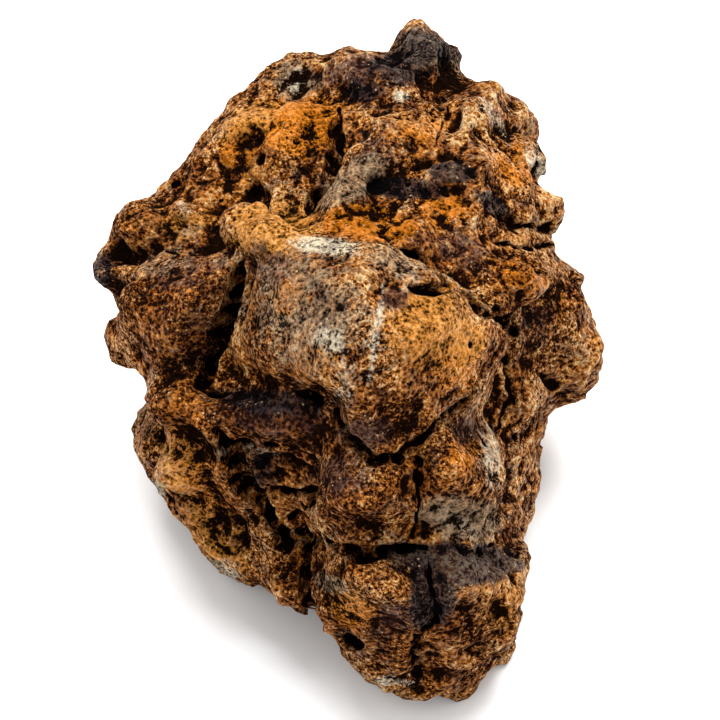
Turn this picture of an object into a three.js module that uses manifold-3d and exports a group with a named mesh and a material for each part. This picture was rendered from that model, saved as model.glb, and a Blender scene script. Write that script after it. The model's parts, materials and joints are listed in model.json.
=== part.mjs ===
// A rusted, lumpy meteorite about as big as a fist. It fell and weathered as one stone, so it is one solid.
//
// Millimetres, +Z up. The origin is on the table, under the middle of the stone, and -Y is the front.
//
// The stone is a cluster of knobs that grew together. The knobs are laid out on its show face, the broad
// face that leans back: there x runs across, y up the face, and z out of it. The whole cluster is then tipped
// back to the way the stone rests, and its underside is worn flat where it stands.
import * as THREE from "three";
import { ImprovedNoise } from "three/addons/math/ImprovedNoise.js";
import { ConvexGeometry } from "three/addons/geometries/ConvexGeometry.js";
import { mergeVertices } from "three/addons/utils/BufferGeometryUtils.js";
import Module from "manifold-3d";

const TIP_BACK = THREE.MathUtils.degToRad(40); // how far the show face leans back
const REST_DEPTH = 34; // from the middle of the cluster down to the worn base

const WELD = 0.8; // how far two knobs run into each other where they meet
const RUSTED_AWAY = 0.6; // from the surface of every knob
const ROUNDING = 0.7; // of a boulder's edges
const WARP = { by: 2.0, every: 17 }; // bends the knobs out of true
const UNEVEN = [{ by: 1.1, every: 8 }, { by: 0.6, every: 4 }]; // waves of the bare surface
// The skin is an icosphere that is drawn in onto the knobs. Its triangles are finer towards the show face.
const SKIN = { radius: 66, detail: 23, rounds: 150, finerEvery: 40 };

// There are two kinds of knob. A lump is rounded, with chips struck off: it has a middle and radii along its
// own x, y and z, with spin turning it on the face, counter-clockwise, in degrees. A boulder is angular: it
// is the hull of its corners. A hollow is a lump that is taken away, and a crack is a cut along a path, so
// wide at the surface and so deep.

const CORES = [
  { name: "core", at: [-1.5, 0, -14], radii: [25, 29, 26], spin: 0 },
  { name: "core_left", at: [-18.5, -8.5, -18], radii: [11.5, 18.5, 22], spin: 0 },
  { name: "core_top", at: [3.5, 29, -24], radii: [18, 15, 22], spin: 0 },
  { name: "core_back_left", at: [-16, 25, -30], radii: [16, 10, 24], spin: 38 },
  { name: "core_foot", at: [9, -32.5, -14], radii: [12, 13, 19], spin: 0 },
  { name: "core_right", at: [20.5, -6, -20], radii: [7, 23.5, 22], spin: 0 },
  { name: "core_under", at: [0, -13, -24.5], radii: [21, 17, 15], spin: 0 },
];

const CAP = [
  {
    name: "cap_left",
    corners: [
      [-14, 14, 24], [-8, 16.5, 28], [1, 16.5, 31], [4, 7.5, 41], [4, 2.5, 41], [-1.5, -5.5, 38],
      [-8, -4, 29], [-15, -2, 25], [-18.5, 3, 23], [-7.5, 5, 37], [-19.5, 1, 14], [-18.5, 8, 12],
      [-15.5, 16, 12], [-8.5, 18, 14], [3, 17.5, 14], [-18, -3, 14], [-8, -5.5, 14], [-8.5, 8.5, 0],
    ],
  },
  {
    name: "cap_right",
    corners: [
      [2.5, 16, 31], [7.5, 14.5, 30], [12.5, 10.5, 29], [16.5, 7.5, 26], [20.5, 3, 20],
      [19, -2.5, 21], [17, -6.5, 22], [10.5, -10.5, 26], [5, -12, 29], [0, -12, 33], [-3, -7.5, 37],
      [-2, -3, 39], [3.5, 6.5, 41], [12, 2, 34], [22, 2.5, 10], [21, -2, 10], [17, -10, 10],
      [11.5, -12.5, 14], [1.5, -14.5, 22], [-4.5, -9, 24], [-4, -5.5, 26], [1.5, 16, 14],
      [15.5, 9.5, 8], [8.5, 1.5, 0],
    ],
  },
  { name: "under_cap", at: [-11.5, -7, 14], radii: [11.5, 4.5, 13], spin: -5 },
  { name: "belly", at: [-3.5, -12, 11], radii: [12.5, 4, 14], spin: -5 },
  { name: "belly_left", at: [-19.5, -7, 7], radii: [6, 5, 13], spin: -40 },
];

const FRONT = [
  {
    name: "front_block",
    corners: [
      [-6, -12, 24], [-1.5, -10, 28], [6, -12, 28], [9, -16, 25], [9.5, -25, 19], [1.5, -26, 19],
      [-6.5, -23, 20], [-8, -17, 20], [-2, -16, 32], [5.5, -18, 32], [1, -27.5, 4], [-7, -22.5, 0],
      [10, -25, 0], [1, -19, -4],
    ],
  },
  {
    name: "front_right_block",
    corners: [
      [6.5, -10.5, 27], [11.5, -8.5, 27], [17, -11, 25], [19.5, -18, 20], [17, -23, 18],
      [7.5, -23.5, 21], [13, -15, 34], [9, -17, 30], [19.5, -19.5, 2], [16.5, -24.5, 2],
      [13.5, -17, 0],
    ],
  },
  { name: "front_right_edge", at: [19, -15, 6], radii: [3, 9.5, 15], spin: 8 },
  { name: "grey_hollow_rim", at: [16.5, -24, 3], radii: [7, 3, 14], spin: -10 },
  { name: "block_root", at: [5.5, -19.5, 4], radii: [13, 7.5, 14], spin: 0 },
];

const FOOT = [
  {
    name: "foot_left",
    corners: [
      [-7, -26.5, 16], [-1.5, -23.5, 23], [7.5, -24, 23], [9.5, -31.5, 24], [9, -39, 16],
      [6, -46.5, 3], [0.5, -45, 2], [-4, -39.5, 7], [-8, -34.5, 9], [-0.5, -29.5, 30],
      [5.5, -32, 30], [-4.5, -28.5, -16], [9.5, -28.5, -16], [9.5, -47, -16], [-2, -43, -16],
    ],
  },
  {
    name: "foot_right",
    corners: [
      [8, -25, 22], [14.5, -24, 21], [22, -25.5, 13], [24.5, -31.5, 8], [23.5, -38, 4],
      [20.5, -43, 1], [15.5, -46.5, 1], [9.5, -46.5, 3], [9, -34, 24], [14.5, -29.5, 29],
      [19, -32, 22], [10, -28.5, -16], [24.5, -28.5, -16], [22, -44, -18], [11.5, -47.5, -18],
    ],
  },
  { name: "foot_bridge", at: [8.5, -30, 5], radii: [6.5, 6.5, 18], spin: 0 },
  { name: "foot_toe", at: [6, -43.5, -4], radii: [5, 3.5, 11], spin: -10 },
  { name: "foot_toe_right", at: [12.5, -45, -6], radii: [5.5, 3, 10], spin: 14 },
  { name: "foot_shoulder", at: [20.5, -28, -3], radii: [5, 4.5, 15], spin: 0 },
  { name: "foot_side_knob", at: [-10, -32, -2], radii: [6, 3.5, 11], spin: -62 },
  { name: "foot_side_back", at: [-15, -29, -6], radii: [4, 3.5, 11], spin: -30 },
];

const LEFT = [
  {
    name: "left_boulder",
    corners: [
      [-37, 4, 2], [-35.5, 8.5, 5], [-31, 11.5, 10], [-27, 13.5, 12], [-21, 15, 15], [-15, 15, 15],
      [-15, 11.5, 15], [-17.5, 5, 11], [-20, 0, 8], [-23, -5, 6], [-29.5, -4.5, 4], [-34.5, -2, 1],
      [-26.5, 6.5, 18], [-20.5, 10.5, 21], [-25, 1.5, 16], [-37.5, 3, -18], [-27, 6, -26],
    ],
  },
  { name: "left_lower", at: [-23.5, -6, 2], radii: [8, 6, 14], spin: -20 },
  { name: "left_low_outer", at: [-25.5, -17, -14], radii: [12, 5.5, 17], spin: -60 },
  { name: "left_low_inner", at: [-19.5, -15, -3], radii: [12, 5, 17], spin: -66 },
  { name: "cave_side", at: [-6, -19.5, 2], radii: [3.5, 8, 14], spin: -10 },
  { name: "left_low_toe", at: [-18.5, -28.5, -14], radii: [6, 4, 12], spin: -28 },
  { name: "left_low_edge", at: [-30, -11, -14], radii: [4, 6, 12], spin: 0 },
  { name: "left_low_middle", at: [-22.5, -13.5, 0], radii: [6.5, 8.5, 13], spin: -50 },
  { name: "left_low_bead", at: [-28.5, -18.5, -18], radii: [2.5, 3, 9], spin: 0 },
];

const BACK_LEFT = [
  { name: "shelf_front", at: [-27.5, 13.5, -8], radii: [10.5, 3.5, 14], spin: 12 },
  { name: "shelf_back", at: [-23, 18.5, -10], radii: [10, 4.5, 15], spin: 24 },
  { name: "nose", at: [-36.5, 13.5, -14], radii: [3, 4, 11], spin: 20 },
  { name: "ridge_low", at: [-25.5, 24, -15], radii: [12, 4, 16], spin: 24 },
  { name: "slope", at: [-19, 30.5, -18], radii: [12, 5.5, 17], spin: 44 },
  { name: "slope_orange", at: [-10.5, 33.5, -13], radii: [8.5, 5, 17], spin: 8 },
  { name: "slope_right", at: [-10, 27, -11], radii: [7, 5, 15], spin: 20 },
  { name: "crown_left", at: [-10.5, 40, -20], radii: [7, 4.5, 14], spin: 26 },
  { name: "crown_left_bead", at: [-9, 43.5, -22], radii: [3.5, 2, 8], spin: 10 },
];

const CROWN = [
  { name: "crown_ridge", at: [-2, 40.5, -18], radii: [9, 5, 15], spin: 18 },
  { name: "crown_bump", at: [-4.5, 43.5, -22], radii: [3.5, 2, 8], spin: 20 },
  { name: "crown_dark", at: [3.5, 39.5, -14], radii: [7, 5, 14], spin: -10 },
  { name: "crown_face", at: [6, 33.5, -7], radii: [8, 5.5, 16], spin: -6 },
  { name: "crown_top", at: [9, 42.5, -18], radii: [6, 4.5, 13], spin: -20 },
  { name: "crown_peak", at: [8, 48, -20], radii: [4, 3, 9], spin: -10 },
  { name: "crown_bead", at: [13, 45, -20], radii: [2.5, 3, 9], spin: -30 },
  { name: "crown_low", at: [4.5, 28, -2], radii: [8.5, 4, 14], spin: 4 },
];

const SHOULDER = [
  { name: "shoulder_face", at: [15, 33, -9], radii: [5.5, 6, 15], spin: -40 },
  { name: "shoulder_top", at: [17.5, 38, -17], radii: [4, 5.5, 13], spin: 40 },
  { name: "shoulder_lump", at: [22.5, 24.5, -10], radii: [5, 6.5, 16], spin: 18 },
  { name: "shoulder_ear", at: [27.5, 22.5, -12], radii: [3, 3.5, 11], spin: 0 },
  { name: "shoulder_back", at: [22.5, 34.5, -24], radii: [4.5, 5.5, 13], spin: -50 },
  { name: "shoulder_mid", at: [15, 26.5, -1], radii: [6, 5.5, 14], spin: -20 },
  { name: "mid_block", at: [12.5, 20, 5], radii: [7, 5, 14], spin: -12 },
  { name: "mid_slope", at: [17, 14, 6], radii: [8.5, 5, 15], spin: -34 },
  { name: "mid_right", at: [23.5, 11.5, -3], radii: [6, 5, 15], spin: -40 },
  { name: "roll", at: [23, 17.5, -5], radii: [4.5, 1.5, 10], spin: 6 },
  {
    name: "orange_block",
    corners: [
      [-18, 21.5, 18], [-12, 22, 20], [-8, 21.5, 19], [-6.5, 18, 21], [-7.5, 13, 22],
      [-17, 12.5, 20], [-18.5, 16.5, 20], [-12.5, 17, 29], [-8, 15.5, 26], [-13, 18, 0],
    ],
  },
  { name: "green_face", at: [-1, 23.5, 2], radii: [7.5, 4.5, 14], spin: 30 },
  { name: "strip", at: [-1.5, 18, 14], radii: [8.5, 3, 11], spin: -6 },
  { name: "strip_right", at: [7.5, 15.5, 12], radii: [6, 4, 13], spin: -28 },
];

const RIGHT = [
  { name: "right_lobe", at: [29.5, 5.5, -16], radii: [9.5, 5, 15], spin: -60 },
  { name: "right_lobe_upper", at: [28, 10, -14], radii: [6.5, 4.5, 14], spin: -50 },
  { name: "right_lobe_low", at: [31, -1.5, -18], radii: [4.5, 4.5, 12], spin: 0 },
  { name: "right_lobe_root", at: [24.5, 4.5, -10], radii: [7, 7.5, 16], spin: -40 },
  { name: "flank_knob", at: [22, 1, -1], radii: [3.5, 4, 12], spin: 0 },
  { name: "flank_upper", at: [21.5, -6, -8], radii: [5, 7, 17], spin: 0 },
  { name: "flank_mid", at: [22, -14, -11], radii: [4.5, 7, 17], spin: 0 },
  { name: "flank_lower", at: [21, -20.5, -9], radii: [5, 6.5, 17], spin: 10 },
];

const BACK = [
  { name: "back_hump", at: [3, 4.5, -44], radii: [18.5, 17, 14], spin: 0 },
  { name: "back_side_left", at: [-14, 4.5, -40], radii: [13.5, 11, 14], spin: 30 },
  { name: "back_side_right", at: [18.5, 9, -40], radii: [10.5, 13.5, 14], spin: -20 },
];

const HOLLOWS = [
  { name: "recess", at: [-4.5, 29.5, 0], radii: [2, 5, 15], spin: 10 },
  { name: "cave", at: [-11, -17.5, 12], radii: [4, 5, 20], spin: -20 },
  { name: "grey_hollow", at: [14.5, -25, 20], radii: [5.5, 1.5, 12], spin: -8 },
  { name: "foot_dent", at: [-1, -37.5, 18], radii: [1.5, 3, 11], spin: 0 },
  {
    name: "left_gap", wide: 1.6, deep: 14,
    path: [[-15.5, 13, 14], [-17, 8, 14], [-19.5, 1.5, 12], [-22, -4, 9]],
  },
  {
    name: "cap_back", wide: 1.4, deep: 7,
    path: [[1.5, 17, 18], [7, 14, 18], [13.5, 10.5, 14], [22.5, 4.5, 7]],
  },
  { name: "over_foot", wide: 1, deep: 8, path: [[-8.5, -24, 12], [-1, -25, 18], [7, -24.5, 18]] },
  { name: "foot_left_side", wide: 1.2, deep: 9, path: [[-7, -26, 8], [-7.5, -31.5, 6], [-6.5, -38, 0]] },
  { name: "between_blocks", wide: 1, deep: 5, path: [[7.5, -12, 26], [8, -18.5, 24], [8.5, -24.5, 18]] },
  { name: "foot_split", wide: 1.4, deep: 7, path: [[9, -26, 20], [10, -33, 20], [9.5, -45, 10]] },
  { name: "over_roll", wide: 1.1, deep: 6, path: [[18, 19, 8], [23, 18.5, 2], [28.5, 19, -4]] },
  { name: "under_roll", wide: 1.1, deep: 6, path: [[18, 15.5, 8], [23, 15.5, 2], [28.5, 16, -4]] },
  { name: "crown_split", wide: 1.1, deep: 6, path: [[11.5, 36.5, 4], [11.5, 32.5, 6], [10, 29, 6]] },
];
const KNOBS = [
  ...CORES, ...CAP, ...FRONT, ...FOOT, ...LEFT, ...BACK_LEFT, ...CROWN, ...SHOULDER, ...RIGHT, ...BACK,
];

const wasm = await Module();
wasm.setup();
const perlin = new ImprovedNoise();
const noiseAt = (p, every, shift) => perlin.noise(p.x / every + shift, p.y / every - shift, p.z / every);

// The same numbers on every run, different for each name.
function randomFrom(name) {
  let state = [...name].reduce((sum, letter) => (sum * 31 + letter.charCodeAt(0)) % 4294967296, 7);
  return () => {
    state = (state * 1664525 + 1013904223) % 4294967296;
    return state / 4294967296;
  };
}

// A flat bounds a knob: out is its outward direction, and away is how far out it lies. These are chips struck
// off a ball of radius 1.
function chipsOf(name, count) {
  const random = randomFrom(name);
  return Array.from({ length: count }, () => {
    const z = 2 * random() - 1;
    const around = 2 * Math.PI * random();
    const flat = Math.sqrt(1 - z * z);
    const out = new THREE.Vector3(flat * Math.cos(around), flat * Math.sin(around), z);
    return { out, away: 0.74 + 0.2 * random() };
  });
}

// Each of these makes a function that says how far outside a knob the point p lies, less than 0 inside it.
function outsideLump(lump) {
  const radii = new THREE.Vector3(...lump.radii);
  const spin = THREE.MathUtils.degToRad(lump.spin);
  const back = new THREE.Quaternion().setFromAxisAngle(new THREE.Vector3(0, 0, 1), -spin);
  const at = new THREE.Vector3(...lump.at);
  const chips = chipsOf(lump.name, 9).map(({ out, away }) => {
    const scaled = out.clone().divide(radii);
    const length = scaled.length();
    return { out: scaled.divideScalar(length), away: away / length };
  });
  const q = new THREE.Vector3();
  const unit = new THREE.Vector3();
  return (p) => {
    q.copy(p).sub(at).applyQuaternion(back);
    unit.copy(q).divide(radii);
    const reach = unit.length();
    let depth = (reach * (reach - 1)) / Math.max(unit.divide(radii).length(), 1e-6);
    for (const chip of chips) depth = Math.max(depth, q.dot(chip.out) - chip.away);
    return depth;
  };
}

function outsideBoulder(boulder) {
  const corners = boulder.corners.map((corner) => new THREE.Vector3(...corner));
  const place = new ConvexGeometry(corners).getAttribute("position");
  const [a, b, c] = [new THREE.Vector3(), new THREE.Vector3(), new THREE.Vector3()];
  const flats = [];
  for (let i = 0; i < place.count; i += 3) {
    a.fromBufferAttribute(place, i);
    b.fromBufferAttribute(place, i + 1);
    c.fromBufferAttribute(place, i + 2);
    const out = b.sub(a).cross(c.sub(a)).normalize().clone();
    const away = out.dot(a);
    if (!flats.some((flat) => flat.out.dot(out) > 0.985)) flats.push({ out, away });
  }
  return (p) => {
    let sum = 0;
    for (const { out, away } of flats) sum += Math.exp((p.dot(out) - away) / ROUNDING);
    return ROUNDING * Math.log(sum);
  };
}

// A crack is widest at its path and runs out at its depth below it. This is less than 0 inside it.
function outsideCrack(crack) {
  const path = crack.path.map((point) => new THREE.Vector3(...point));
  const run = new THREE.Vector3();
  const gap = new THREE.Vector3();
  return (p) => {
    let depth = Infinity;
    for (let i = 0; i + 1 < path.length; i++) {
      run.copy(path[i + 1]).sub(path[i]);
      gap.copy(p).sub(path[i]);
      const along = THREE.MathUtils.clamp((gap.x * run.x + gap.y * run.y) / (run.x ** 2 + run.y ** 2), 0, 1);
      gap.addScaledVector(run, -along);
      const across = Math.hypot(gap.x, gap.y) / crack.wide;
      const down = gap.z / (gap.z > 0 ? 4 * crack.deep : crack.deep);
      depth = Math.min(depth, (Math.hypot(across, down) - 1) * crack.wide);
    }
    return depth;
  };
}

// Each knob with the ball that it lies in, so that far knobs needn't be asked.
const knobs = KNOBS.map((knob) => {
  const points = (knob.corners ?? [knob.at]).map((point) => new THREE.Vector3(...point));
  const ball = new THREE.Sphere().setFromPoints(points);
  if (knob.radii) ball.radius = Math.max(...knob.radii);
  return { ball, depth: knob.corners ? outsideBoulder(knob) : outsideLump(knob) };
});
const hollows = HOLLOWS.map((hollow) => (hollow.path ? outsideCrack(hollow) : outsideLump(hollow)));

// How far outside the stone the point p of the show face lies.
const bent = new THREE.Vector3();
function outsideStone(p) {
  bent.set(noiseAt(p, WARP.every, 3), noiseAt(p, WARP.every, 31), noiseAt(p, WARP.every, 57));
  bent.multiplyScalar(WARP.by).add(p);
  let sum = 0;
  let nearest = Infinity;
  for (const { ball, depth } of knobs) {
    const far = ball.distanceToPoint(bent);
    nearest = Math.min(nearest, far);
    if (far < 7 * WELD) sum += Math.exp(-Math.max(depth(bent), -15) / WELD);
  }
  let depth = RUSTED_AWAY + (sum ? -WELD * Math.log(sum) : nearest);
  for (const wave of UNEVEN) depth -= wave.by * noiseAt(p, wave.every, 11);
  for (const hollow of hollows) depth = Math.max(depth, -hollow(bent));
  return depth;
}

// Draws an icosphere in onto the stone. In each round a point slides along the surface towards the larger of
// the triangles round it, which evens them out, and moves down to the surface. Higher up the show face the
// triangles count as larger, so they end up smaller there.
function drawnIn() {
  const ball = new THREE.IcosahedronGeometry(SKIN.radius, SKIN.detail);
  ball.deleteAttribute("normal");
  ball.deleteAttribute("uv");
  const skin = mergeVertices(ball, 1e-3);
  const place = skin.getAttribute("position");
  const corners = skin.index.array;
  const pointAt = (i) => new THREE.Vector3().fromBufferAttribute(place, i);
  const points = Array.from({ length: place.count }, (_, i) => pointAt(i));
  const pulls = points.map(() => ({ to: new THREE.Vector3(), area: 0 }));
  const triangle = new THREE.Triangle();
  const centre = new THREE.Vector3();
  const uphill = new THREE.Vector3();
  const probe = new THREE.Vector3();
  for (let round = 0; round < SKIN.rounds; round++) {
    for (const pull of pulls) {
      pull.to.set(0, 0, 0);
      pull.area = 0;
    }
    for (let i = 0; i < corners.length; i += 3) {
      const three = [corners[i], corners[i + 1], corners[i + 2]];
      triangle.set(...three.map((corner) => points[corner]));
      triangle.getMidpoint(centre);
      const area = triangle.getArea() * Math.exp(centre.z / SKIN.finerEvery);
      for (const corner of three) {
        pulls[corner].to.addScaledVector(centre, area);
        pulls[corner].area += area;
      }
    }
    points.forEach((point, i) => {
      const slide = pulls[i].to.divideScalar(pulls[i].area).sub(point);
      const depth = outsideStone(point);
      uphill.set(
        outsideStone(probe.copy(point).setX(point.x + 0.3)) - depth,
        outsideStone(probe.copy(point).setY(point.y + 0.3)) - depth,
        outsideStone(probe.copy(point).setZ(point.z + 0.3)) - depth,
      ).normalize();
      slide.addScaledVector(uphill, -0.8 * slide.dot(uphill));
      point.addScaledVector(slide, round < SKIN.rounds - 5 ? 0.9 : 0.2);
      point.addScaledVector(uphill, -THREE.MathUtils.clamp(0.7 * depth, -1.5, 1.5));
    });
  }
  points.forEach((point, i) => place.setXYZ(i, point.x, point.y, point.z));
  return skin;
}

function solidOf(geometry) {
  const bare = geometry.clone();
  bare.deleteAttribute("normal");
  bare.deleteAttribute("uv");
  const merged = mergeVertices(bare, 1e-4);
  return new wasm.Manifold(new wasm.Mesh({
    numProp: 3,
    vertProperties: merged.getAttribute("position").array,
    triVerts: new Uint32Array(merged.index.array),
  }));
}

function geometryOf(solid) {
  const mesh = solid.getMesh();
  const places = new Float32Array(mesh.numVert * 3);
  for (let i = 0; i < mesh.numVert; i++) {
    places.set(mesh.vertProperties.subarray(i * mesh.numProp, i * mesh.numProp + 3), i * 3);
  }
  return new THREE.BufferGeometry()
    .setAttribute("position", new THREE.BufferAttribute(places, 3))
    .setIndex(new THREE.BufferAttribute(mesh.triVerts, 1));
}

// The table is a slab under the stone: what reaches below its top is taken away.
function worn(solid) {
  const thickness = 60;
  const slab = new THREE.BoxGeometry(300, 300, thickness);
  slab.translate(0, 0, -REST_DEPTH - thickness / 2);
  return solid.subtract(solidOf(slab));
}

function stoneGeometry() {
  const geometry = geometryOf(worn(solidOf(drawnIn().rotateX(TIP_BACK))));
  geometry.computeBoundingBox();
  const middle = geometry.boundingBox.getCenter(new THREE.Vector3());
  geometry.translate(-middle.x, -middle.y, -geometry.boundingBox.min.z);
  geometry.computeVertexNormals();
  return geometry;
}

const rust = new THREE.MeshStandardMaterial({ color: 0x8a5230, roughness: 0.85, metalness: 0.1 });
const meteorite = new THREE.Mesh(stoneGeometry(), rust);
meteorite.name = "meteorite";

const stone = new THREE.Group();
stone.add(meteorite);

export default stone;
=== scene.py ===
import json
import math
import random

import bpy
import numpy as np
from mathutils import Matrix, Vector
from mathutils.bvhtree import BVHTree

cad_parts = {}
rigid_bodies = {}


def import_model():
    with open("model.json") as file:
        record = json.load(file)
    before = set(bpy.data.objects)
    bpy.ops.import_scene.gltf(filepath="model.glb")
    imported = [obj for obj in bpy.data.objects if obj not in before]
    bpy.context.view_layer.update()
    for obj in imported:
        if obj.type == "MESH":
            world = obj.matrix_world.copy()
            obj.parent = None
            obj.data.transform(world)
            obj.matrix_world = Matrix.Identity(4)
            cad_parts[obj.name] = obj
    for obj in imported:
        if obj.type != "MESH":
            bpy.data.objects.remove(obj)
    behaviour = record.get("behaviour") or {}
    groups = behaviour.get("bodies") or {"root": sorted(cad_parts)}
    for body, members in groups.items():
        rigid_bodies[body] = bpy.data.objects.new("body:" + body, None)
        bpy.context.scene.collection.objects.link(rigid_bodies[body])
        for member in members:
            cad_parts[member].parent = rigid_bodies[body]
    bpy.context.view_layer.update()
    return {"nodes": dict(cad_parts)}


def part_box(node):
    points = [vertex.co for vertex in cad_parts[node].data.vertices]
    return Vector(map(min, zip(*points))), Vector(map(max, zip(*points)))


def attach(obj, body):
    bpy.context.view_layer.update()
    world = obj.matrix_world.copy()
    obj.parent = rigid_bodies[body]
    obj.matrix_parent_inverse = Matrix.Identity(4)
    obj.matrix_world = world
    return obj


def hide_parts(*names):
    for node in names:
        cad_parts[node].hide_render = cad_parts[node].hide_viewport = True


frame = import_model()
mm = 0.001

# Places on the stone are given on its show face, the broad face that leans back, in mm from the heart of the
# stone: x across, y up the face, z out of it.
showFace = {
    "lean": 40,  # degrees
    "right": 1.75,  # mm, the heart from the middle of the box
    "forward": 6.86,
    "above": 34.0,  # mm, the heart from the base
}
stoneLow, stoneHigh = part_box("meteorite")
heart = Vector((
    (stoneLow.x + stoneHigh.x) / 2 + showFace["right"] * mm,
    (stoneLow.y + stoneHigh.y) / 2 - showFace["forward"] * mm,
    stoneLow.z + showFace["above"] * mm,
))
lean = Matrix.Rotation(math.radians(showFace["lean"]), 4, "X")
faceToRoom = Matrix.Translation(heart) @ lean @ Matrix.Scale(mm, 4)
faceOut = (faceToRoom.to_3x3() @ Vector((0, 0, 1))).normalized()


def selectOnly(thing):
    bpy.ops.object.select_all(action="DESELECT")
    thing.select_set(True)
    bpy.context.view_layer.objects.active = thing


def applyModifier(thing, kind, **settings):
    selectOnly(thing)
    modifier = thing.modifiers.new(kind.lower(), kind)
    for name, value in settings.items():
        setattr(modifier, name, value)
    bpy.ops.object.modifier_apply(modifier=modifier.name)


def remeshed(thing, voxel):
    applyModifier(thing, "REMESH", mode="VOXEL", voxel_size=voxel * mm, use_smooth_shade=True)


def linear(hexColour):
    parts = [int(hexColour[i:i + 2], 16) / 255 for i in (1, 3, 5)]
    return [p / 12.92 if p <= 0.04045 else ((p + 0.055) / 1.055) ** 2.4 for p in parts] + [1.0]


# Adds a node and sets what it has. An input is a value, a socket to link, or a node whose first output is
# linked. stops are the places and colours of a colour ramp, the first two for the stops it comes with.
def addNode(tree, kind, inputs=None, stops=None, **settings):
    made = tree.nodes.new(kind)
    for name, value in settings.items():
        setattr(made, name, value)
    for i, (place, colour) in enumerate(stops or []):
        ramp = made.color_ramp.elements
        stop = ramp[i] if i < 2 else ramp.new(place)
        stop.position = place
        stop.color = linear(colour)
    for name, value in (inputs or {}).items():
        if isinstance(value, bpy.types.Node):
            value = value.outputs[0]
        if isinstance(value, bpy.types.NodeSocket):
            tree.links.new(value, made.inputs[name])
        else:
            made.inputs[name].default_value = value
    return made


roughStone = {
    "seed": 7,  # of where scoops and beads fall
    "firstVoxel": 0.7,  # mm
    "smoothing": 2,  # melts the flats of the plain solid away
    "beadVoxel": 0.5,  # mm
    "fineVoxel": 0.36,  # mm
    "triangles": 178000,  # asked for: the spared show face leaves some more
    # facing the room from -1 to 1, and how much is taken there
    "coarse": [(-1.1, -0.35, 1.0), (-0.35, 0.1, 0.6), (0.1, 1.1, 0.3)],
    # rounds of smoothing, and the depth in mm that counts as full
    "hollows": [("hollowNear", 6, 0.16), ("hollowFar", 60, 0.9)],
}


def copyOfNode(name):
    thing = bpy.data.objects.new("rustedMeteorite", frame["nodes"][name].data.copy())
    bpy.context.scene.collection.objects.link(thing)
    selectOnly(thing)
    bpy.ops.object.mode_set(mode="EDIT")
    bpy.ops.mesh.select_all(action="SELECT")
    bpy.ops.mesh.remove_doubles(threshold=0.001 * mm)
    bpy.ops.object.mode_set(mode="OBJECT")
    return thing


# Finds the surface under a place on the show face: where it is and which way it faces.
def surfaceFinder(thing):
    tree = BVHTree.FromObject(thing, bpy.context.evaluated_depsgraph_get())
    farOut = 90  # mm

    def find(x, y):
        place, normal, _, _ = tree.ray_cast(faceToRoom @ Vector((x, y, farOut)), -faceOut)
        return place, normal

    return find


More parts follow.
